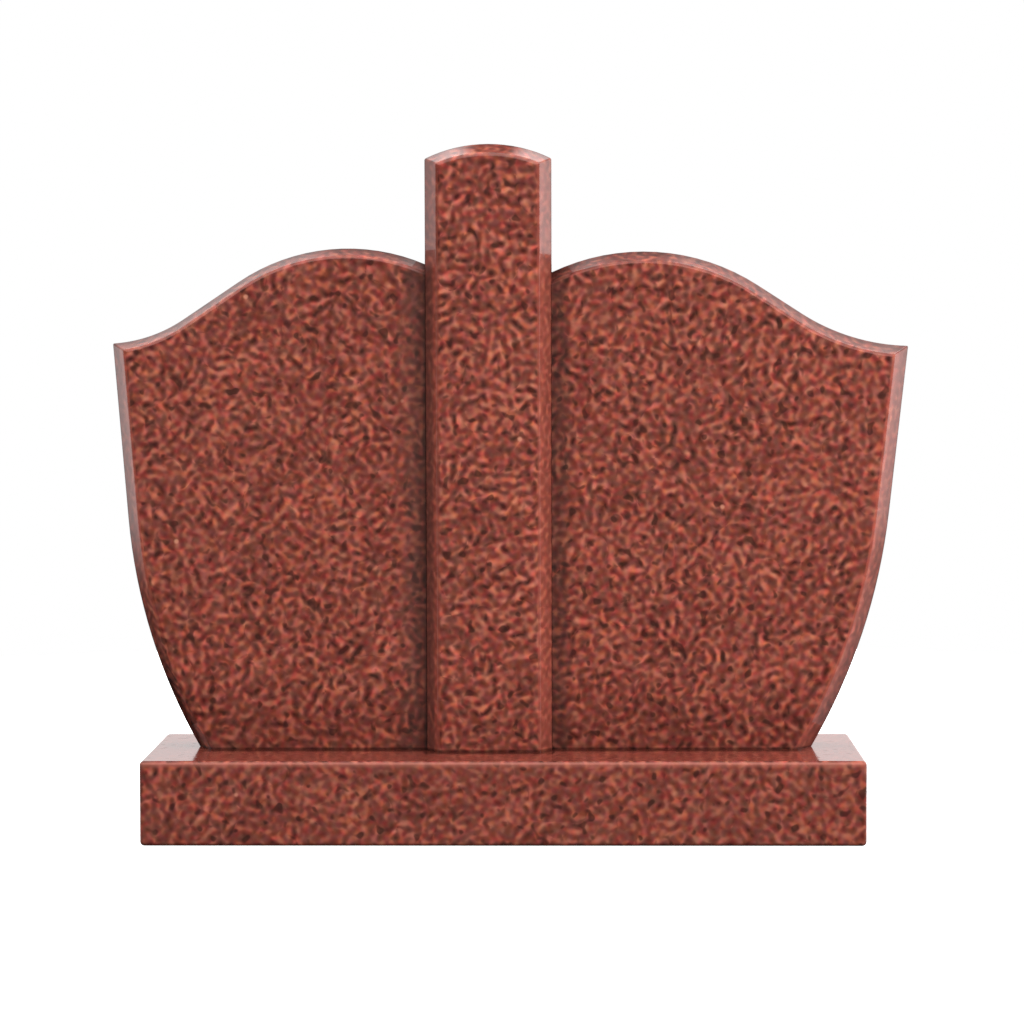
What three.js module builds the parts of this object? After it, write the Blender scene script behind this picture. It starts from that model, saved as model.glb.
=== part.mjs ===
// A winged double headstone in polished red granite: a base slab, a raised pillar with an
// arched top, and a wing with a scrolled top on either side of the pillar.
// Millimetres. X runs to the right, Y to the back and Z up. The origin is the middle of the
// base's underside.
import * as THREE from "three";

// Base slab, with its upright corners and its long edges rounded
const BASE = { width: 1020, depth: 300, height: 120, cornerRadius: 8, edgeRadius: 6, edgeSteps: 4 };

// Pillar: its sides and its arch are bevelled at the front, down to the wings' faces
const PILLAR = {
  middle: -21,
  width: 181,
  shoulder: 966,
  apex: 987,
  front: -55,
  thickness: 120,
  sideBevel: 18.5,
  topBevel: 15,
};

// Both wings stand between the same two planes, and their bevels run equally deep
const WING = { front: -27, thickness: 80, bevelDepth: 32 };

// A wing's outline is drawn in its own plane, where u runs outwards from the middle of the
// base. From the pillar outwards the top is a crest, a straight slope and a hollow. The flank
// leans outwards above and sweeps in to the foot below.
const LEFT_WING = {
  name: "left_wing",
  outwards: -1,
  crest: { u: 224, z: 840, radius: 283 },
  slope: { degrees: 33.7, length: 97 },
  hollowRadius: 204,
  flank: { u: 563, z: 700, leanDegrees: 4.5, sweepTop: 452, sweepRadius: 806 },
  topBevel: 11.5,
  flankBevel: 19.5,
};
const RIGHT_WING = {
  name: "right_wing",
  outwards: 1,
  crest: { u: 200, z: 834.5, radius: 304 },
  slope: { degrees: 32.9, length: 74 },
  hollowRadius: 295,
  flank: { u: 581, z: 700, leanDegrees: 6.3, sweepTop: 459, sweepRadius: 873 },
  topBevel: 14,
  flankBevel: 22,
};

// Number of straight pieces that stand for each arc
const ARC_STEPS = 48;

// The stones differ a little in tone, as cut blocks do
const GRANITE = { base: 0x80443a, left_wing: 0x85463b, right_wing: 0x88473b, pillar: 0x8c483a };
const POLISH = { roughness: 0.12, metalness: 0 };

const radians = THREE.MathUtils.degToRad;

// Points along an arc, from one angle to another, anticlockwise from the u axis
function arc(centre, radius, from, to) {
  const clockwise = to < from;
  const curve = new THREE.EllipseCurve(centre.x, centre.y, radius, radius, from, to, clockwise);
  return curve.getPoints(ARC_STEPS);
}

// The lower of the two points where a rising line crosses a circle
function lowerCrossing(start, direction, centre, radius) {
  const toStart = start.clone().sub(centre);
  const along = toStart.dot(direction);
  const outside = toStart.lengthSq() - radius * radius;
  const distance = -along - Math.sqrt(along * along - outside);
  return start.clone().addScaledVector(direction, distance);
}

// A wing's outline with its top and flank drawn in by the given widths
function wingOutline(wing, inner, topInset, flankInset) {
  const { crest, slope, flank } = wing;
  const slopeAngle = radians(slope.degrees);
  const lean = radians(flank.leanDegrees);
  const crestCentre = new THREE.Vector2(crest.u, crest.z - crest.radius);
  const slopeNormal = new THREE.Vector2(Math.sin(slopeAngle), Math.cos(slopeAngle));
  const slopeFall = new THREE.Vector2(Math.cos(slopeAngle), -Math.sin(slopeAngle));
  const hollowCentre = crestCentre
    .clone()
    .addScaledVector(slopeNormal, crest.radius + wing.hollowRadius)
    .addScaledVector(slopeFall, slope.length);
  const crestRadius = crest.radius - topInset;
  const hollowRadius = wing.hollowRadius + topInset;

  const flankRise = new THREE.Vector2(Math.sin(lean), Math.cos(lean));
  const flankNormal = new THREE.Vector2(Math.cos(lean), -Math.sin(lean));
  const sweepDrop = (flank.z - flank.sweepTop) / Math.cos(lean);
  const sweepStart = new THREE.Vector2(flank.u, flank.z).addScaledVector(flankRise, -sweepDrop);
  const sweepCentre = sweepStart.clone().addScaledVector(flankNormal, -flank.sweepRadius);
  const sweepRadius = flank.sweepRadius - flankInset;
  const footAngle = Math.asin((BASE.height - sweepCentre.y) / sweepRadius);

  const flankStart = sweepStart.clone().addScaledVector(flankNormal, -flankInset);
  const corner = lowerCrossing(flankStart, flankRise, hollowCentre, hollowRadius);
  const cornerAngle = corner.clone().sub(hollowCentre).angle();
  const hollowStart = (3 * Math.PI) / 2 - slopeAngle;
  const innerAngle = Math.acos((inner - crest.u) / crestRadius);

  const sweep = arc(sweepCentre, sweepRadius, footAngle, -lean);
  sweep[0].y = BASE.height;
  const top = arc(crestCentre, crestRadius, Math.PI / 2 - slopeAngle, innerAngle);
  top[ARC_STEPS].x = inner;
  return [
    new THREE.Vector2(inner, BASE.height),
    ...sweep,
    ...arc(hollowCentre, hollowRadius, cornerAngle, hollowStart),
    ...top,
  ];
}

// The pillar's outline with its arch and sides drawn in by the given widths
function pillarOutline(topInset, sideInset) {
  const rise = PILLAR.apex - PILLAR.shoulder;
  const archRadius = (PILLAR.width ** 2 / 4 + rise ** 2) / (2 * rise);
  const archCentre = new THREE.Vector2(PILLAR.middle, PILLAR.apex - archRadius);
  const radius = archRadius - topInset;
  const left = PILLAR.middle - PILLAR.width / 2 + sideInset;
  const right = PILLAR.middle + PILLAR.width / 2 - sideInset;
  const rightAngle = Math.acos((right - PILLAR.middle) / radius);
  const arch = arc(archCentre, radius, rightAngle, Math.PI - rightAngle);
  arch[0].x = right;
  arch[ARC_STEPS].x = left;
  return [new THREE.Vector2(left, BASE.height), new THREE.Vector2(right, BASE.height), ...arch];
}

// An upright slab through matching outlines, given from the front to the back
function slabGeometry(sections) {
  const count = sections[0].outline.length;
  const positions = sections.flatMap(({ outline, y }) => outline.flatMap((p) => [p.x, y, p.y]));
  const faces = [];
  const front = THREE.ShapeUtils.triangulateShape(sections[0].outline, []);
  for (const [a, b, c] of front) {
    faces.push(a, b, c);
  }
  for (let ring = 0; ring < sections.length - 1; ring += 1) {
    for (let i = 0; i < count; i += 1) {
      const next = (i + 1) % count;
      const near = [ring * count + i, ring * count + next];
      const far = [near[0] + count, near[1] + count];
      faces.push(near[0], far[0], far[1], near[0], far[1], near[1]);
    }
  }
  const lastRing = (sections.length - 1) * count;
  const back = THREE.ShapeUtils.triangulateShape(sections.at(-1).outline, []);
  for (const [a, b, c] of back) {
    faces.push(lastRing + c, lastRing + b, lastRing + a);
  }
  const geometry = new THREE.BufferGeometry();
  geometry.setAttribute("position", new THREE.Float32BufferAttribute(positions, 3));
  geometry.setIndex(faces);
  geometry.computeVertexNormals();
  return geometry;
}

// A stone with a bevelled front: the drawn-in face, the full outline behind it, the back
function bevelledSlab(face, outline, front, bevelDepth, thickness) {
  return slabGeometry([
    { outline: face, y: front },
    { outline, y: front + bevelDepth },
    { outline, y: front + thickness },
  ]);
}

function baseGeometry() {
  const { width, depth, height, cornerRadius, edgeRadius, edgeSteps } = BASE;
  const plan = new THREE.Shape();
  const quarter = Math.PI / 2;
  const reach = { x: width / 2 - cornerRadius, y: depth / 2 - cornerRadius };
  const corners = [
    [reach.x, -reach.y],
    [reach.x, reach.y],
    [-reach.x, reach.y],
    [-reach.x, -reach.y],
  ];
  corners.forEach(([x, y], i) => {
    plan.absarc(x, y, cornerRadius, (i - 1) * quarter, i * quarter, false);
  });
  const geometry = new THREE.ExtrudeGeometry(plan, {
    depth: height - 2 * edgeRadius,
    curveSegments: edgeSteps,
    bevelThickness: edgeRadius,
    bevelSize: edgeRadius,
    bevelOffset: -edgeRadius,
    bevelSegments: edgeSteps,
  });
  return geometry.translate(0, 0, edgeRadius);
}

function wingGeometry(wing) {
  const pillarSide = PILLAR.middle + (wing.outwards * PILLAR.width) / 2;
  const inner = wing.outwards * pillarSide;
  const place = (outline) => {
    const points = outline.map((p) => new THREE.Vector2(wing.outwards * p.x, p.y));
    return THREE.ShapeUtils.isClockWise(points) ? points.reverse() : points;
  };
  const face = place(wingOutline(wing, inner, wing.topBevel, wing.flankBevel));
  const outline = place(wingOutline(wing, inner, 0, 0));
  return bevelledSlab(face, outline, WING.front, WING.bevelDepth, WING.thickness);
}

function pillarGeometry() {
  const face = pillarOutline(PILLAR.topBevel, PILLAR.sideBevel);
  const bevelDepth = WING.front - PILLAR.front;
  return bevelledSlab(face, pillarOutline(0, 0), PILLAR.front, bevelDepth, PILLAR.thickness);
}

function stone(name, geometry) {
  const material = new THREE.MeshStandardMaterial({ color: GRANITE[name], ...POLISH });
  const mesh = new THREE.Mesh(geometry, material);
  mesh.name = name;
  return mesh;
}

const headstone = new THREE.Group();
headstone.add(stone("base", baseGeometry()));
headstone.add(stone("pillar", pillarGeometry()));
for (const wing of [LEFT_WING, RIGHT_WING]) {
  headstone.add(stone(wing.name, wingGeometry(wing)));
}

export default headstone;
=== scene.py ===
# A winged double headstone in polished red granite, dressed for the camera.
# Lengths are in millimetres where nothing else is said, and become metres in meshes and nodes.
import math
from dataclasses import dataclass, replace

import bmesh
import bpy
from mathutils import Matrix, Vector


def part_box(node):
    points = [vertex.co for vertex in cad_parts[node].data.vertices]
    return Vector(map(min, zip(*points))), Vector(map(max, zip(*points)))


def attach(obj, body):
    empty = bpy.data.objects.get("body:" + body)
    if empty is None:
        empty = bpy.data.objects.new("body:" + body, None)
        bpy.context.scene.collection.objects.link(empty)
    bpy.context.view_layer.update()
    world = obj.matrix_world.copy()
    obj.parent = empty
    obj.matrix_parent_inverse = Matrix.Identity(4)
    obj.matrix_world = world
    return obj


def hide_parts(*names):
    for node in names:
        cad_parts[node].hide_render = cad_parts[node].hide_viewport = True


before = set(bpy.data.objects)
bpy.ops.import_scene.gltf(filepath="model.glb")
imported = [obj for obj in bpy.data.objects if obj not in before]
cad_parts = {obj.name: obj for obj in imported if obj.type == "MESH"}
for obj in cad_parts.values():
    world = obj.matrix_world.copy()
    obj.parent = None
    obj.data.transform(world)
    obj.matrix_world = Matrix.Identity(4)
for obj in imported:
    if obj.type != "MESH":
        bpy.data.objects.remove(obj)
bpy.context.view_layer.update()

MM = 0.001
BODY = "root"


# Driving sizes


@dataclass
class Wing:
    """A wing's outline as if it stood on the right: crest, straight fall, hollow, flank and sweep."""

    node: str
    outwards: int
    crest: tuple
    crest_radius: float
    slope_degrees: float
    slope_length: float
    hollow_radius: float
    flank: tuple
    lean_degrees: float
    sweep_top: float
    sweep_radius: float
    top_bevel: float
    flank_bevel: float


LEFT_WING = Wing(
    node="left_wing",
    outwards=-1,
    crest=(224, 840),
    crest_radius=283,
    slope_degrees=33.7,
    slope_length=97,
    hollow_radius=204,
    flank=(563, 700),
    lean_degrees=4.5,
    sweep_top=452,
    sweep_radius=806,
    top_bevel=11.5,
    flank_bevel=19.5,
)
RIGHT_WING = Wing(
    node="right_wing",
    outwards=1,
    crest=(200, 834.5),
    crest_radius=304,
    slope_degrees=32.9,
    slope_length=74,
    hollow_radius=295,
    flank=(581, 700),
    lean_degrees=6.3,
    sweep_top=459,
    sweep_radius=873,
    top_bevel=14,
    flank_bevel=22,
)
WING_BEVEL_DEPTH = 32
PILLAR_SHOULDER = 966
PILLAR_SIDE_BEVEL = 18.5
PILLAR_TOP_BEVEL = 15

# Every stone's edges are eased a little, the uprights' rear edges less than their front ones
ARRIS_WIDTH = 4.5
BASE_ARRIS_WIDTH = 6.0
REAR_ARRIS_SHARE = 0.5
ARRIS_STEPS = 4
CREASE_DEGREES = 12
ARC_STEPS = 16


def node_box(name):
    """A node's lowest and highest corners in millimetres."""
    low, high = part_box(name)
    return Vector(low) / MM, Vector(high) / MM


BASE_LOW, BASE_HIGH = node_box("base")
PILLAR_LOW, PILLAR_HIGH = node_box("pillar")
WING_LOW, WING_HIGH = node_box(LEFT_WING.node)
PILLAR_MIDDLE = (PILLAR_LOW.x + PILLAR_HIGH.x) / 2
PILLAR_HALF = (PILLAR_HIGH.x - PILLAR_LOW.x) / 2
PILLAR_BEVEL_DEPTH = WING_LOW.y - PILLAR_LOW.y


# Outlines


def arc(centre, radius, start, end):
    """Points along an arc in the upright plane, with both of its ends."""
    angles = [start + (end - start) * i / ARC_STEPS for i in range(ARC_STEPS + 1)]
    return [centre + radius * Vector((math.cos(a), math.sin(a))) for a in angles]


def lower_crossing(start, direction, centre, radius):
    """The lower of the two points where a rising line crosses a circle."""
    to_start = start - centre
    along = to_start.dot(direction)
    outside = to_start.length_squared - radius**2
    return start + direction * (-along - math.sqrt(along**2 - outside))


def wing_outline(wing, inner, foot, top_inset=0.0, flank_inset=0.0):
    """A wing's outline from its inner foot round by the flank, drawn in by the given widths."""
    slope = math.radians(wing.slope_degrees)
    lean = math.radians(wing.lean_degrees)
    slope_normal = Vector((math.sin(slope), math.cos(slope)))
    slope_fall = Vector((math.cos(slope), -math.sin(slope)))
    crest_centre = Vector(wing.crest) - Vector((0, wing.crest_radius))
    to_hollow = slope_normal * (wing.crest_radius + wing.hollow_radius)
    hollow_centre = crest_centre + to_hollow + slope_fall * wing.slope_length
    crest_radius = wing.crest_radius - top_inset
    hollow_radius = wing.hollow_radius + top_inset

    flank_rise = Vector((math.sin(lean), math.cos(lean)))
    flank_normal = Vector((math.cos(lean), -math.sin(lean)))
    flank = Vector(wing.flank)
    sweep_start = flank - flank_rise * ((flank.y - wing.sweep_top) / math.cos(lean))
    sweep_centre = sweep_start - flank_normal * wing.sweep_radius
    sweep_radius = wing.sweep_radius - flank_inset
    foot_angle = math.asin((foot - sweep_centre.y) / sweep_radius)

    flank_start = sweep_start - flank_normal * flank_inset
    corner = lower_crossing(flank_start, flank_rise, hollow_centre, hollow_radius) - hollow_centre
    corner_angle = math.atan2(corner.y, corner.x)
    hollow_end = -math.pi / 2 - slope
    inner_angle = math.acos((inner - wing.crest[0]) / crest_radius)
    return [
        Vector((inner, foot)),
        *arc(sweep_centre, sweep_radius, foot_angle, -lean),
        *arc(hollow_centre, hollow_radius, corner_angle, hollow_end),
        *arc(crest_centre, crest_radius, math.pi / 2 - slope, inner_angle),
    ]


def pillar_outline(top_inset=0.0, side_inset=0.0):
    """The pillar's outline, with its arch and sides drawn in by the given widths."""
    rise = PILLAR_HIGH.z - PILLAR_SHOULDER
    arch_radius = (PILLAR_HALF**2 + rise**2) / (2 * rise)
    arch_centre = Vector((PILLAR_MIDDLE, PILLAR_HIGH.z - arch_radius))
    radius = arch_radius - top_inset
    reach = PILLAR_HALF - side_inset
    end_angle = math.acos(reach / radius)
    return [
        Vector((PILLAR_MIDDLE - reach, PILLAR_LOW.z)),
        Vector((PILLAR_MIDDLE + reach, PILLAR_LOW.z)),
        *arc(arch_centre, radius, end_angle, math.pi - end_angle),
    ]


# Stones

# The points of an outline that touch the base or the pillar, where no edge is eased
BURIED_WING_POINTS = (0, 1, -1)
BURIED_PILLAR_POINTS = (0, 1)


def to_object(name, work):
    """Turns finished mesh work into an object in the scene."""
    mesh = bpy.data.meshes.new(name)
    work.to_mesh(mesh)
    work.free()
    made = bpy.data.objects.new(name, mesh)
    bpy.context.scene.collection.objects.link(made)
    return made


def mark_creases(work, front, buried, rear_share):
    """Gives each crease its share of the easing, and keeps those between buried points sharp."""
    weight = work.edges.layers.float.new("bevel_weight_edge")
    for edge in work.edges:
        if edge.calc_face_angle() <= math.radians(CREASE_DEGREES):
            continue
        if buried.issuperset(edge.verts):
            edge.smooth = False
        else:
            edge[weight] = 1.0 if front.issuperset(edge.verts) else rear_share


def loft(name, rings, buried_points=(), rear_share=1.0):
    """A closed mesh through matching rings of points, the front ring first."""
    work = bmesh.new()
    made = [[work.verts.new(point * MM) for point in ring] for ring in rings]
    count = len(rings[0])
    for near, far in zip(made, made[1:]):
        for i in range(count):
            following = (i + 1) % count
            work.faces.new((near[i], far[i], far[following], near[following]))
    work.faces.new(made[0])
    work.faces.new(list(reversed(made[-1])))
    bmesh.ops.recalc_face_normals(work, faces=work.faces)
    buried = {ring[i] for ring in made for i in buried_points}
    mark_creases(work, set(made[0]), buried, rear_share)
    for face in work.faces:
        face.smooth = True
    return to_object(name, work)


def ease_edges(piece, width):
    """Rounds the marked creases, as a mason eases an arris, and keeps the flats flat."""
    bevel = piece.modifiers.new("arris", "BEVEL")
    bevel.width = width * MM
    bevel.segments = ARRIS_STEPS
    bevel.limit_method = "WEIGHT"
    bevel.use_clamp_overlap = False
    bevel.harden_normals = True


def bevelled_slab(name, face, outline, low, high, bevel_depth, buried_points):
    """An upright stone: the drawn-in face, the full outline behind its bevel, the back."""
    sections = [(face, low.y), (outline, low.y + bevel_depth), (outline, high.y)]
    rings = [[Vector((p.x, y, p.y)) for p in points] for points, y in sections]
    return loft(name, rings, buried_points, REAR_ARRIS_SHARE)


def make_wing(wing):
    low, high = node_box(wing.node)
    inner = high.x if wing.outwards < 0 else low.x
    side = Vector((wing.outwards, 1))
    face = wing_outline(wing, abs(inner), low.z, wing.top_bevel, wing.flank_bevel)
    outline = wing_outline(wing, abs(inner), low.z)
    return bevelled_slab(
        wing.node + "_stone",
        [p * side for p in face],
        [p * side for p in outline],
        low,
        high,
        WING_BEVEL_DEPTH,
        BURIED_WING_POINTS,
    )


def make_pillar():
    return bevelled_slab(
        "pillar_stone",
        pillar_outline(PILLAR_TOP_BEVEL, PILLAR_SIDE_BEVEL),
        pillar_outline(),
        PILLAR_LOW,
        PILLAR_HIGH,
        PILLAR_BEVEL_DEPTH,
        BURIED_PILLAR_POINTS,
    )


def make_base():
    xs = (BASE_LOW.x, BASE_HIGH.x, BASE_HIGH.x, BASE_LOW.x)
    ys = (BASE_LOW.y, BASE_LOW.y, BASE_HIGH.y, BASE_HIGH.y)
    heights = (BASE_LOW.z, BASE_HIGH.z)
    return loft("base_stone", [[Vector((x, y, z)) for x, y in zip(xs, ys)] for z in heights])


# Shader nodes


class Graph:
    """Short names for the shader nodes that the granite and the studio are made of."""

    def __init__(self, tree):
        self.tree = tree
        tree.nodes.clear()

    def add(self, kind, inputs, **settings):
        made = self.tree.nodes.new(kind)
        for name, value in settings.items():
            setattr(made, name, value)
        for name, value in inputs.items():
            if isinstance(value, bpy.types.NodeSocket):
                self.tree.links.new(value, made.inputs[name])
            else:
                made.inputs[name].default_value = value
        return made

    def math(self, operation, first, second=0.0, third=0.0):
        inputs = {0: first, 1: second, 2: third}
        return self.add("ShaderNodeMath", inputs, operation=operation).outputs[0]

    def product(self, first, *others):
        for other in others:
            first = self.math("MULTIPLY", first, other)
        return first

    def largest(self, first, *others):
        for other in others:
            first = self.math("MAXIMUM", first, other)
        return first

    def average(self, values):
        total, *others = values
        for value in others:
            total = self.math("ADD", total, value)
        return self.math("DIVIDE", total, len(others) + 1)

    def vector(self, operation, first, second=(0, 0, 0), third=(0, 0, 0)):
        inputs = {0: first, 1: second, 2: third}
        return self.add("ShaderNodeVectorMath", inputs, operation=operation).outputs[0]

    def step(self, start, direction, distance):
        """A place in metres, moved along a direction by a distance in millimetres."""
        return self.vector("MULTIPLY_ADD", direction, (distance * MM,) * 3, start)

    def turned(self, vector, kind, turn, place=(0, 0, 0)):
        inputs = {"Vector": vector, "Rotation": turn}
        if kind == "POINT":
            inputs["Location"] = place
        return self.add("ShaderNodeMapping", inputs, vector_type=kind).outputs[0]

    def parts(self, vector):
        return self.add("ShaderNodeSeparateXYZ", {0: vector}).outputs

    def channels(self, colour):
        return self.add("ShaderNodeSeparateColor", {"Color": colour}).outputs

    def noise(self, place, pattern, output="Fac"):
        moved = self.vector("ADD", place, pattern.part)
        inputs = {"Vector": moved, "Scale": pattern.scale, "Detail": pattern.detail}
        return self.add("ShaderNodeTexNoise", inputs).outputs[output]

    def fade(self, value, span, first=0.0, last=1.0, interpolation="SMOOTHSTEP"):
        """Goes smoothly from the first number to the last while the value crosses the span."""
        inputs = {0: value, 1: span[0], 2: span[1], 3: first, 4: last}
        return self.add("ShaderNodeMapRange", inputs, interpolation_type=interpolation).outputs[0]

    def ramp(self, value, span, first=0.0, last=1.0):
        """Goes straight from the first number to the last while the value crosses the span."""
        return self.fade(value, span, first, last, "LINEAR")

    def blend_number(self, share, first, second):
        return self.add("ShaderNodeMix", {0: share, 2: first, 3: second}).outputs[0]

    def blend(self, share, first, second):
        inputs = {0: share, 6: first, 7: second}
        return self.add("ShaderNodeMix", inputs, data_type="RGBA").outputs[2]


# Granite


def srgb(red, green, blue):
    """A colour given as screen values from 0 to 255, in linear light."""

    def linear(value):
        share = value / 255
        return share / 12.92 if share <= 0.04045 else ((share + 0.055) / 1.055) ** 2.4

    return (linear(red), linear(green), linear(blue), 1.0)


# Two tints of each tone run through the stone, a redder one first and a duller one second
DARK_TONES = (srgb(78, 36, 28), srgb(70, 40, 35))
MIDDLE_TONES = (srgb(138, 63, 51), srgb(132, 75, 65))
BRIGHT_TONES = (srgb(208, 104, 79), srgb(202, 120, 99))
MICA_TONE = srgb(58, 33, 28)
FLECK_TONE = srgb(222, 150, 124)


@dataclass
class Pattern:
    """One noise in the granite: its waves per metre, its own part of the noise, and its detail."""

    scale: float
    part: tuple
    detail: float = 0.0


GRAIN = Pattern(96.0, (0.0, 0.0, 0.0))
DRIFT = Pattern(28.0, (0.9, 3.7, 2.1))
BEND = Pattern(105.0, (0.3, 0.7, 0.1))
FINE_GRAIN = Pattern(150.0, (3.1, 1.7, 5.3), 0.5)
PATCH = Pattern(45.0, (1.7, 8.2, 4.1), 0.5)
CLOUD = Pattern(20.0, (5.2, 0.4, 7.6), 1.0)
TINT = Pattern(110.0, (7.7, 2.2, 9.1))
MICA = Pattern(85.0, (4.9, 6.1, 2.3))
FLECK_SCALE = 75.0
NOISE_MIDDLE = 0.5

# How far the grains are drawn out and bent, and how far off the noise lies that sets them apart
STROKE_REACH = 4.2
STROKE_GAP = 6.8
DOT_GAP = 4.0
DOT_CORNERS = ((1, 1, 1), (-1, -1, 1), (-1, 1, -1), (1, -1, -1))
BEND_REACH = 3.0

# What each pattern adds to the light and dark of the stone
STROKE_SHARE = 0.6
DOT_SHARE = 0.5
FINE_SHARE = 0.5
CLOUD_SHARE = 1.0
FAINT_PATCH_SHARE = 0.5

# Where along a pattern's values one thing gives way to the next
PATCH_SPAN = (0.32, 0.68)
TINT_SPAN = (0.25, 0.75)
DARK_TO_MIDDLE = (-1.2, 0.05)
MIDDLE_TO_BRIGHT = (0.0, 1.3)
MICA_SPAN = (0.62, 0.8)
MICA_COVER = 0.75
FLECK_RARITY = 0.997
FLECK_EDGE = (0.1, 0.36)
FLECK_COVER = 0.7
HUE_RANGE = (0.492, 0.508)


def grains(g, place, normal):
    """Curled grains and round ones: noise, drawn out or not, less the noise around it."""
    start = g.step(place, g.noise(place, BEND, "Color"), BEND_REACH)
    drift = g.vector("SUBTRACT", g.noise(place, DRIFT, "Color"), (NOISE_MIDDLE,) * 3)
    across = g.vector("NORMALIZE", g.vector("CROSS_PRODUCT", drift, normal))
    along = g.vector("CROSS_PRODUCT", normal, across)

    def drawn_out(middle):
        reaches = (-STROKE_REACH, 0.0, STROKE_REACH)
        return g.average([g.noise(g.step(middle, along, reach), GRAIN) for reach in reaches])

    beside = [drawn_out(g.step(start, across, gap)) for gap in (-STROKE_GAP, STROKE_GAP)]
    strokes = g.math("SUBTRACT", drawn_out(start), g.average(beside))
    around = [g.noise(g.step(start, corner, DOT_GAP), GRAIN) for corner in DOT_CORNERS]
    dots = g.math("SUBTRACT", g.noise(start, GRAIN), g.average(around))
    return g.math("MULTIPLY_ADD", dots, DOT_SHARE, g.math("MULTIPLY", strokes, STROKE_SHARE))


def stone_colour(g, place, normal, contrast):
    """The granite's colour without weathering, and where its dark mica lies."""
    figure = g.ramp(g.noise(place, PATCH), PATCH_SPAN, FAINT_PATCH_SHARE * contrast, contrast)
    light = g.product(grains(g, place, normal), figure)
    for pattern, share in ((FINE_GRAIN, FINE_SHARE), (CLOUD, CLOUD_SHARE)):
        swing = g.math("SUBTRACT", g.noise(place, pattern), NOISE_MIDDLE)
        light = g.math("MULTIPLY_ADD", swing, share, light)

    tint = g.channels(g.noise(place, TINT, "Color"))
    dull = g.ramp(tint[0], TINT_SPAN)
    dark = g.blend(dull, *DARK_TONES)
    middle = g.blend(dull, *MIDDLE_TONES)
    bright = g.blend(dull, *BRIGHT_TONES)
    colour = g.blend(g.ramp(light, DARK_TO_MIDDLE), dark, middle)
    colour = g.blend(g.ramp(light, MIDDLE_TO_BRIGHT), colour, bright)

    mica = g.fade(g.noise(place, MICA), MICA_SPAN, 0.0, MICA_COVER)
    colour = g.blend(mica, colour, MICA_TONE)
    cells = g.add("ShaderNodeTexVoronoi", {"Vector": place, "Scale": FLECK_SCALE}).outputs
    is_fleck = g.math("GREATER_THAN", g.channels(cells["Color"])[1], FLECK_RARITY)
    fleck = g.fade(cells["Distance"], FLECK_EDGE, FLECK_COVER, 0.0)
    colour = g.blend(g.product(is_fleck, fleck), colour, FLECK_TONE)
    hue = g.ramp(tint[1], TINT_SPAN, *HUE_RANGE)
    return g.add("ShaderNodeHueSaturation", {"Color": colour, "Hue": hue}).outputs[0], mica


# Painted light and shade, evenness and polish

EVEN_TONE = srgb(137, 68, 56)
BASE_TOP_TONE = srgb(140, 65, 53)
# The painted highlight on the base's front arris
ARRIS_HIGHLIGHT_TONE = srgb(196, 120, 104)
# Greyish tones that the painted shade beside the pillar blends towards
PALE_SHADE_TONE = srgb(110, 86, 80)
DARK_SHADE_TONE = srgb(49, 47, 45)
POLISH = 0.5


class Spot:
    """A point on a stone: its place in millimetres, and how far it faces the front and the sky."""

    def __init__(self, g):
        self.here = g.add("ShaderNodeTexCoord", {}).outputs["Object"]
        self.normal = g.add("ShaderNodeNewGeometry", {}).outputs["Normal"]
        self.x, self.y, self.z = g.parts(g.vector("DIVIDE", self.here, (MM,) * 3))
        backwards, self.upwards = g.parts(self.normal)[1:]
        self.facing = g.math("MULTIPLY", backwards, -1.0)
        self.above_base = g.math("SUBTRACT", self.z, BASE_HIGH.z)
        from_middle = g.math("ABSOLUTE", g.math("SUBTRACT", self.x, PILLAR_MIDDLE))
        self.beside_pillar = g.math("SUBTRACT", from_middle, PILLAR_HALF)


@dataclass
class WingJointShade:
    """Painted shade on a wing, deep close beside the pillar and fainter further out, where the polish
    dulls.
    """

    near_shade: float
    near_reach: float
    wide_shade: float
    wide_reach: float
    wide_shade_tone: tuple
    dull_reach: float

    def paint_shade(self, g, spot, colour):
        wide_shade = g.fade(spot.beside_pillar, (self.near_reach, self.wide_reach), self.wide_shade, 0.0)
        near_shade = g.fade(spot.beside_pillar, (0.0, self.near_reach), self.near_shade, 0.0)
        colour = g.blend(wide_shade, colour, self.wide_shade_tone)
        colour = g.blend(near_shade, colour, DARK_SHADE_TONE)
        return colour, g.fade(spot.beside_pillar, (0.0, self.dull_reach))


# The painted shade on the pillar lies just ahead of the wings' faces and ends a little below their
# tops
DUST_AHEAD = (14.0, 22.0)
DUST_BEHIND = (-6.0, 0.0)
DUST_BELOW = (20.0, 30.0)
LEFT_TO_RIGHT = (-10.0, 10.0)


@dataclass
class PillarJointShade:
    """Painted shade deep in the pillar's two side bevels, low down where they meet the wings."""

    left: float
    right: float

    def paint_shade(self, g, spot, colour):
        from_middle = g.math("SUBTRACT", spot.x, PILLAR_MIDDLE)
        ahead = g.math("SUBTRACT", WING_LOW.y, spot.y)
        below = g.math("SUBTRACT", WING_HIGH.z, spot.z)
        amount = g.ramp(from_middle, LEFT_TO_RIGHT, self.left, self.right)
        deep = g.product(g.fade(ahead, DUST_AHEAD, amount, 0.0), g.fade(ahead, DUST_BEHIND))
        return g.blend(g.product(deep, g.fade(below, DUST_BELOW)), colour, DARK_SHADE_TONE), 1.0


# How a facing or upward share tells the bevels from the sides, the faces and each other
SIDE_TO_BEVEL = (0.1, 0.25)
SIDE_TO_EDGE = (0.0, 0.2)
BEVEL_TO_FACE = (0.88, 0.99)
SIDE_TO_TOP_BEVEL = (0.2, 0.6)
GRAINY_TOP_BEVEL = (0.3, 0.7)

# How far up the uprights their feet take painted shade, and show grain on their bevels
FOOT_HEIGHT = (0.0, 130.0)
FOOT_BEVEL_HEIGHT = (0.0, 200.0)
FOOT_GRAIN_HEIGHT = (100.0, 280.0)
# A thin line of painted shade where each upright stands on the base
BED_HEIGHT = (1.0, 6.0)
BED_SHADE = 0.7
DEEPEST_SHADE = 0.8
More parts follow.
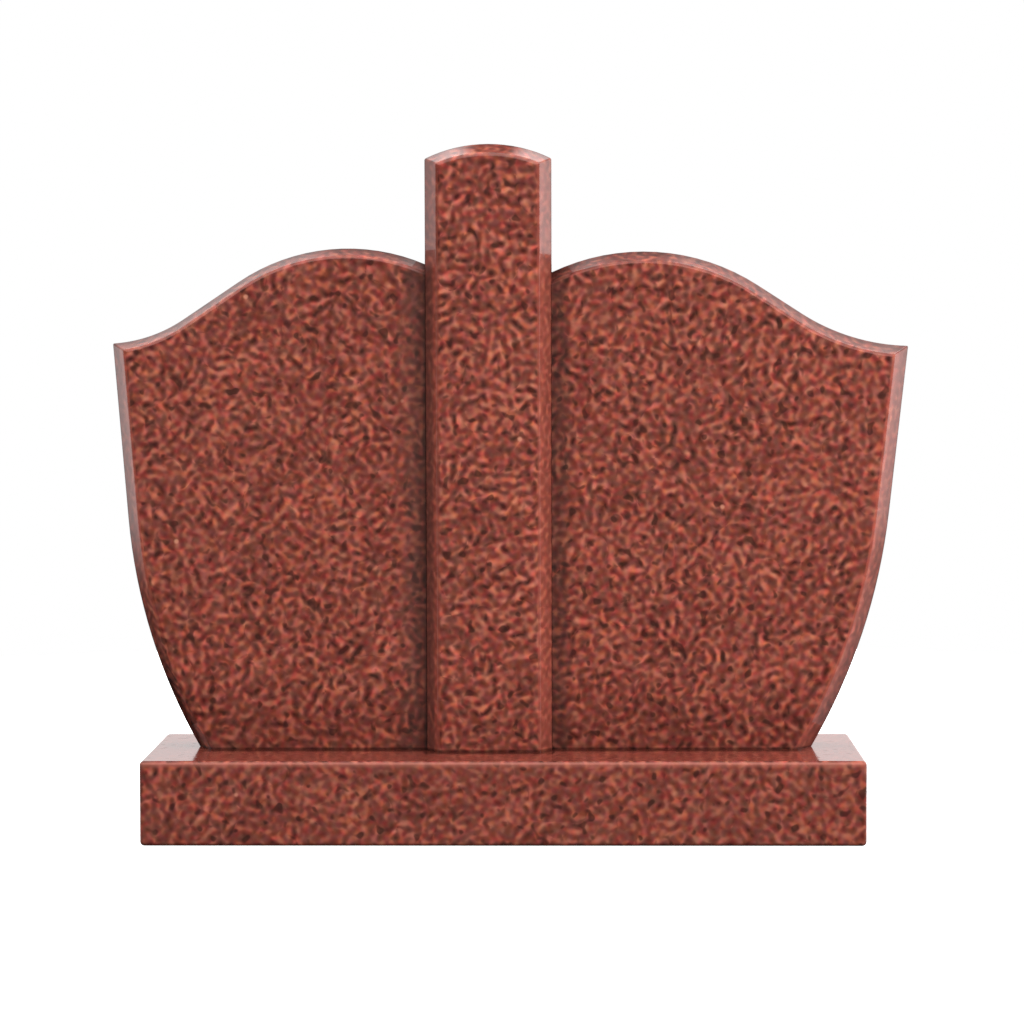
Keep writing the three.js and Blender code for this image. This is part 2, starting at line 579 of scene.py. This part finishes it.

# Parts of the way across a bevel, from its inner edge to its outer one, and what changes there: a
# painted highlight near the inner edge and painted shade towards the outer one
INNER_BEVEL = (0.05, 0.6)
OUTER_BEVEL = (0.1, 0.9)
EDGE_LINE = (0.04, 0.14)
SIDE_BEVEL_EVENNESS = 0.6
TOP_BEVEL_EVENNESS = 0.3
EDGE_POLISH = 0.02


@dataclass
class Upright:
    """Painted shade on a standing stone: on its bevels, beside its joints and at its foot, with a
    painted highlight inside its bevels.
    """

    bevel_front: float
    bevel_depth: float
    foot_shade: float
    foot_bevel_shade: float
    foot_grain: float
    side_bevel_shade: float
    side_bevel_glow: float
    top_bevel_shade: float
    top_bevel_glow: float
    bevel_polish: float
    edge_shade: float
    joint_shade: object

    def edge(self, g, spot, across):
        """A dark line of painted shade along the bevel's outer edge."""
        from_edge = g.math("ABSOLUTE", g.math("SUBTRACT", across, 1.0))
        line = g.fade(from_edge, EDGE_LINE, self.edge_shade, 0.0)
        return g.product(line, g.fade(spot.facing, SIDE_TO_EDGE))

    def paint_light_and_polish(self, g, spot, colour):
        """The colour, with painted shade beside the joints; how bright it is painted, with its shade
        and highlights; and how well it is polished.
        """
        bevel = g.fade(spot.facing, SIDE_TO_BEVEL)
        bevel = g.product(bevel, g.fade(spot.facing, BEVEL_TO_FACE, 1.0, 0.0))
        plain = g.fade(spot.above_base, FOOT_GRAIN_HEIGHT, 1.0 - self.foot_grain, 1.0)
        evenness = (SIDE_BEVEL_EVENNESS, TOP_BEVEL_EVENNESS)
        even = g.product(bevel, plain, g.fade(spot.upwards, GRAINY_TOP_BEVEL, *evenness))
        colour = g.blend(even, colour, EVEN_TONE)
        # Painted shade beside the pillar, and the polish dulled there
        colour, beside_pillar_polish = self.joint_shade.paint_shade(g, spot, colour)

        # Painted shade towards each bevel's outer edge, darkest at the foot, and a painted highlight
        # near its inner edge
        across = g.math("DIVIDE", g.math("SUBTRACT", spot.y, self.bevel_front), self.bevel_depth)
        on_top = g.fade(spot.upwards, SIDE_TO_TOP_BEVEL)
        side_shades = (self.foot_bevel_shade, self.side_bevel_shade)
        side_shade = g.fade(spot.above_base, FOOT_BEVEL_HEIGHT, *side_shades)
        rim_shade = g.blend_number(on_top, side_shade, self.top_bevel_shade)
        rim = g.product(bevel, g.fade(across, OUTER_BEVEL, 0.0, rim_shade))
        rim = g.largest(rim, self.edge(g, spot, across))
        inner_glow = g.blend_number(on_top, self.side_bevel_glow, self.top_bevel_glow)
        glow = g.product(bevel, plain, g.fade(across, INNER_BEVEL, inner_glow, 0.0))

        # Painted shade low on the face and in the crease at the foot
        foot = g.fade(spot.above_base, FOOT_HEIGHT, self.foot_shade, 0.0)
        bed = g.fade(spot.above_base, BED_HEIGHT, BED_SHADE, 0.0)
        shade = g.math("MINIMUM", g.largest(foot, bed, rim), DEEPEST_SHADE)
        level = g.product(g.math("SUBTRACT", 1.0, shade), g.math("ADD", glow, 1.0))
        polish = g.blend_number(bevel, POLISH, self.bevel_polish)
        polish = g.blend_number(rim, polish, EDGE_POLISH)
        return colour, level, g.product(polish, beside_pillar_polish)


def outer_foot(wing):
    """Where a wing's flank comes down on the base."""
    foot = node_box(wing.node)[0].z
    return wing.outwards * wing_outline(wing, 0, foot)[1].x


# How an upward share tells the base's front from its rounded arris and its flat top, and where the
# arris takes its painted highlight
FRONT_TO_ARRIS = (0.05, 0.3)
ARRIS_HIGHLIGHT_TO_TOP = (0.5, 0.9)
ARRIS_TO_TOP = (0.95, 0.99)
ARRIS_HIGHLIGHT_HEIGHT = (-11.0, -3.0)
ARRIS_HIGHLIGHT_COVER = 0.5
ARRIS_POLISH = 0.25
BASE_TOP_EVENNESS = 0.62

# How far from the uprights the base's top lies in their shade
CONTACT_REACH = (10.0, 34.0)
CONTACT_SHADE = 0.68
CONTACT_END = 20.0
PILLAR_CORNER = (0.0, 6.0)


def contact_shade(g, spot):
    """The shade on the base's top, close in front of the uprights and close behind them."""
    at_pillar = g.fade(spot.beside_pillar, PILLAR_CORNER, 1.0, 0.0)
    front = g.blend_number(at_pillar, WING_LOW.y, PILLAR_LOW.y)
    back = g.blend_number(at_pillar, WING_HIGH.y, PILLAR_HIGH.y)
    gap = g.largest(g.math("SUBTRACT", front, spot.y), g.math("SUBTRACT", spot.y, back))
    left, right = (outer_foot(wing) for wing in (LEFT_WING, RIGHT_WING))
    from_left = g.fade(spot.x, (left, left + CONTACT_END))
    from_right = g.fade(spot.x, (right - CONTACT_END, right), 1.0, 0.0)
    return g.product(from_left, from_right, g.fade(gap, CONTACT_REACH, CONTACT_SHADE, 0.0))


def paint_base_light_and_polish(g, spot, colour):
    """The top looks even at its flat angle, its arris takes a painted highlight, and the uprights
    cast painted shade on it.
    """
    flat = g.fade(spot.upwards, ARRIS_TO_TOP)
    colour = g.blend(g.product(flat, BASE_TOP_EVENNESS), colour, BASE_TOP_TONE)
    # A painted highlight along the front arris, just below the base's top
    arris_highlight = g.fade(spot.above_base, ARRIS_HIGHLIGHT_HEIGHT, 0.0, ARRIS_HIGHLIGHT_COVER)
    arris_highlight = g.product(arris_highlight, g.fade(spot.upwards, ARRIS_HIGHLIGHT_TO_TOP, 1.0, 0.0))
    colour = g.blend(arris_highlight, colour, ARRIS_HIGHLIGHT_TONE)
    level = g.math("SUBTRACT", 1.0, g.product(flat, contact_shade(g, spot)))
    rounded = g.fade(spot.upwards, FRONT_TO_ARRIS)
    rounded = g.product(rounded, g.math("SUBTRACT", 1.0, flat))
    return colour, level, g.blend_number(rounded, POLISH, ARRIS_POLISH)


PILLAR_PAINTED_LIGHT = Upright(
    bevel_front=PILLAR_LOW.y,
    bevel_depth=PILLAR_BEVEL_DEPTH,
    foot_shade=0.2,
    foot_bevel_shade=0.15,
    foot_grain=0.0,
    side_bevel_shade=0.15,
    side_bevel_glow=0.15,
    top_bevel_shade=0.3,
    top_bevel_glow=0.15,
    bevel_polish=0.58,
    edge_shade=0.5,
    joint_shade=PillarJointShade(left=0.42, right=0.0),
)
LEFT_PAINTED_LIGHT = Upright(
    bevel_front=WING_LOW.y,
    bevel_depth=WING_BEVEL_DEPTH,
    foot_shade=0.32,
    foot_bevel_shade=1.35,
    foot_grain=0.9,
    side_bevel_shade=0.2,
    side_bevel_glow=0.5,
    top_bevel_shade=0.5,
    top_bevel_glow=0.28,
    bevel_polish=0.43,
    edge_shade=0.7,
    joint_shade=WingJointShade(
        near_shade=0.55, near_reach=6.0, wide_shade=0.34, wide_reach=50.0, wide_shade_tone=PALE_SHADE_TONE, dull_reach=16.0
    ),
)
RIGHT_PAINTED_LIGHT = replace(
    LEFT_PAINTED_LIGHT,
    foot_bevel_shade=0.5,
    foot_grain=0.0,
    side_bevel_shade=0.12,
    top_bevel_glow=-0.06,
    edge_shade=0.5,
    joint_shade=WingJointShade(
        near_shade=0.0, near_reach=12.0, wide_shade=0.45, wide_reach=34.0, wide_shade_tone=DARK_SHADE_TONE, dull_reach=90.0
    ),
)


# Dressed stones

MICA_ROUGHNESS = 0.1
GRANITE_IOR = 1.5


@dataclass
class Block:
    """A stone's place in the quarry block in metres and radians, its tone, figure and polish."""

    place: tuple
    turn: tuple
    tone: float = 1.0
    contrast: float = 4.4
    roughness: float = 0.05


BASE_BLOCK = Block((0.0, 0.0, 0.0), (0.6, 0.5, 0.7), contrast=3.5, roughness=0.1)
PILLAR_BLOCK = Block((4.3, 2.9, 1.1), (0.9, 0.3, 0.2), tone=1.05, contrast=4.8)
LEFT_BLOCK = Block((8.7, 1.3, 6.1), (0.4, 0.8, 0.5))
RIGHT_BLOCK = Block((2.2, 6.8, 3.7), (0.7, 0.2, 0.9))


def granite(name, block, paint_light_and_polish):
    """Polished red granite, cut from its own place in the block, with painted light and shade."""
    material = bpy.data.materials.new(name)
    material.use_nodes = True
    g = Graph(material.node_tree)
    spot = Spot(g)
    place = g.turned(spot.here, "POINT", block.turn, block.place)
    normal = g.turned(spot.normal, "NORMAL", block.turn)
    colour, mica = stone_colour(g, place, normal, block.contrast)
    colour, level, polish = paint_light_and_polish(g, spot, colour)
    shaded = {"Color": colour, "Value": g.product(level, block.tone)}
    rough = (block.roughness, block.roughness + MICA_ROUGHNESS)
    surface = {
        "Base Color": g.add("ShaderNodeHueSaturation", shaded).outputs["Color"],
        "Roughness": g.ramp(mica, (0.0, MICA_COVER), *rough),
        "Specular IOR Level": polish,
        "IOR": GRANITE_IOR,
    }
    shader = g.add("ShaderNodeBsdfPrincipled", surface)
    g.add("ShaderNodeOutputMaterial", {"Surface": shader.outputs["BSDF"]})
    return material


def dress(piece, node, block, paint_light_and_polish, arris_width=ARRIS_WIDTH):
    """Gives a stone its granite and its eased edges, and sets it in its node's place."""
    piece.data.materials.append(granite("granite_" + node, block, paint_light_and_polish))
    ease_edges(piece, arris_width)
    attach(piece, BODY)
    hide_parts(node)


def make_stones():
    dress(make_base(), "base", BASE_BLOCK, paint_base_light_and_polish, BASE_ARRIS_WIDTH)
    dress(make_pillar(), "pillar", PILLAR_BLOCK, PILLAR_PAINTED_LIGHT.paint_light_and_polish)
    dress(make_wing(LEFT_WING), LEFT_WING.node, LEFT_BLOCK, LEFT_PAINTED_LIGHT.paint_light_and_polish)
    dress(make_wing(RIGHT_WING), RIGHT_WING.node, RIGHT_BLOCK, RIGHT_PAINTED_LIGHT.paint_light_and_polish)


# Studio, in metres

FLOOR_RADIUS = 2.6
FLOOR_SIDES = 96
FLOOR_GLOW = 0.75
WHITE = (1.0, 1.0, 1.0, 1.0)


def make_floor():
    """A pale round floor that neither colours the stones nor shows in their polish."""
    work = bmesh.new()
    bmesh.ops.create_circle(work, cap_ends=True, radius=FLOOR_RADIUS, segments=FLOOR_SIDES)
    floor = to_object("floor", work)
    floor.visible_glossy = False
    floor.visible_diffuse = False
    material = bpy.data.materials.new("pale_floor")
    material.use_nodes = True
    g = Graph(material.node_tree)
    diffuse = g.add("ShaderNodeBsdfDiffuse", {"Color": WHITE})
    glow = g.add("ShaderNodeEmission", {"Color": WHITE, "Strength": FLOOR_GLOW})
    both = g.add("ShaderNodeAddShader", {0: diffuse.outputs[0], 1: glow.outputs[0]})
    g.add("ShaderNodeOutputMaterial", {"Surface": both.outputs[0]})
    floor.data.materials.append(material)


# The room that the polish reflects: how bright it is, and the directions between which that changes
LEFT_GROUND = 0.03
RIGHT_GROUND = 0.25
LEFT_TO_RIGHT_GROUND = (-0.3, 0.3)
WALL = 1.05
GROUND_TO_WALL = (-0.24, -0.06)
FRONT_WALL_SHARE = 0.04
FRONT_TO_BACK = (-0.3, 0.3)
LEFT_WALL_SHARES = (1.5, 1.1)
LOW_TO_HIGH_LEFT_WALL = (-0.05, 0.04)
LEFT_TO_BACK_WALL = (-0.9, -0.3)
RIGHT_WALL_SHARE = 2.3
BACK_TO_RIGHT_WALL = (0.3, 0.9)
FRONT_CEILING = 1.5
FRONT_TO_BACK_CEILING = (0.2, 0.45)
MIDDLE_CEILING = (0.5, 0.1)
MIDDLE_CEILING_RISE = (0.7, 0.82)
SIDE_CEILING = (1.2, 3.2)
SIDE_CEILING_RISE = (0.68, 0.76)
MIDDLE_TO_SIDE_CEILING = (0.08, 0.22)
WALL_TO_CEILING = (0.3, 0.5)

# The soft light that the whole room sheds on the stones
LOW_LIGHT = 0.06
HIGH_LIGHT = 0.3
LOW_TO_HIGH_LIGHT = (-0.06, 0.06)


def wall_light(g, x, y, z):
    """Bright to the sides and behind, dark in front and below."""
    ground = g.fade(x, LEFT_TO_RIGHT_GROUND, LEFT_GROUND, RIGHT_GROUND)
    wall = g.fade(z, GROUND_TO_WALL, ground, WALL)
    behind = g.fade(y, FRONT_TO_BACK, FRONT_WALL_SHARE, 1.0)
    left_share = g.fade(z, LOW_TO_HIGH_LEFT_WALL, *LEFT_WALL_SHARES)
    left = g.fade(x, LEFT_TO_BACK_WALL, left_share, 1.0)
    right = g.fade(x, BACK_TO_RIGHT_WALL, 1.0, RIGHT_WALL_SHARE)
    return g.product(left, right, behind, wall)


def ceiling_light(g, x, y, z):
    """Even in front, and brighter towards the sides at the back."""
    middle = g.fade(z, MIDDLE_CEILING_RISE, *MIDDLE_CEILING)
    side = g.fade(z, SIDE_CEILING_RISE, *SIDE_CEILING)
    back = g.fade(g.math("ABSOLUTE", x), MIDDLE_TO_SIDE_CEILING, middle, side)
    return g.blend_number(g.fade(y, FRONT_TO_BACK_CEILING), FRONT_CEILING, back)


def make_surroundings():
    """White to the camera, a bright room to the polish and a soft light to all else."""
    world = bpy.data.worlds.new("studio")
    bpy.context.scene.world = world
    world.use_nodes = True
    world.cycles.sampling_method = "NONE"
    g = Graph(world.node_tree)
    rays = g.add("ShaderNodeLightPath", {}).outputs
    x, y, z = g.parts(g.add("ShaderNodeTexCoord", {}).outputs["Generated"])
    ceiling = ceiling_light(g, x, y, z)
    room = g.blend_number(g.fade(z, WALL_TO_CEILING), wall_light(g, x, y, z), ceiling)
    soft_light = g.fade(z, LOW_TO_HIGH_LIGHT, LOW_LIGHT, HIGH_LIGHT)
    strength = g.blend_number(rays["Is Glossy Ray"], soft_light, room)
    strength = g.largest(strength, rays["Is Camera Ray"])
    backdrop = g.add("ShaderNodeBackground", {"Color": WHITE, "Strength": strength})
    g.add("ShaderNodeOutputWorld", {"Surface": backdrop.outputs[0]})


@dataclass
class Lamp:
    """A square soft lamp, placed by its angles in degrees as seen from the stones."""

    name: str
    azimuth: float
    elevation: float
    power: float
    distance: float = 5.0
    size: float = 2.4


LAMPS = (
    Lamp("key_lamp", 57, 22, 298),
    Lamp("fill_lamp", -58, 18, 130),
    Lamp("top_lamp", 0, 95, 54, distance=3.0, size=1.5),
    Lamp("back_key_lamp", 150, 14, 180),
    Lamp("back_fill_lamp", -150, 14, 100),
)
LAMP_TARGET = Vector((0.0, 0.0, 0.5))


def make_lamp(lamp):
    turn = math.radians(lamp.azimuth)
    lift = math.radians(lamp.elevation)
    level = math.cos(lift)
    away = Vector((math.sin(turn) * level, -math.cos(turn) * level, math.sin(lift)))
    light = bpy.data.lights.new(lamp.name, "AREA")
    light.size = lamp.size
    light.energy = lamp.power
    made = bpy.data.objects.new(lamp.name, light)
    made.location = LAMP_TARGET + away * lamp.distance
    made.rotation_euler = away.to_track_quat("Z", "Y").to_euler()
    made.visible_glossy = False
    bpy.context.scene.collection.objects.link(made)


# Camera

# Fitted to the base's six visible corners, with its angles in degrees
CAMERA_PLACE = Vector((98.1, -4481.8, 732.8))
CAMERA_TURN = 1.106
CAMERA_TILT = 3.475
CAMERA_ROLL = -0.156
CAMERA_LENS = 109.58
SENSOR_WIDTH = 36.0


def make_camera():
    data = bpy.data.cameras.new("camera")
    data.lens = CAMERA_LENS
    data.sensor_width = SENSOR_WIDTH
    camera = bpy.data.objects.new("camera", data)
    turn = Matrix.Rotation(math.radians(CAMERA_TURN), 4, "Z")
    tilt = Matrix.Rotation(math.radians(90 - CAMERA_TILT), 4, "X")
    roll = Matrix.Rotation(math.radians(CAMERA_ROLL), 4, "Z")
    camera.matrix_world = Matrix.Translation(CAMERA_PLACE * MM) @ turn @ tilt @ roll
    bpy.context.scene.collection.objects.link(camera)
    bpy.context.scene.camera = camera


make_stones()
make_floor()
make_surroundings()
for lamp in LAMPS:
    make_lamp(lamp)
make_camera()
bpy.context.scene.view_settings.view_transform = "Standard"
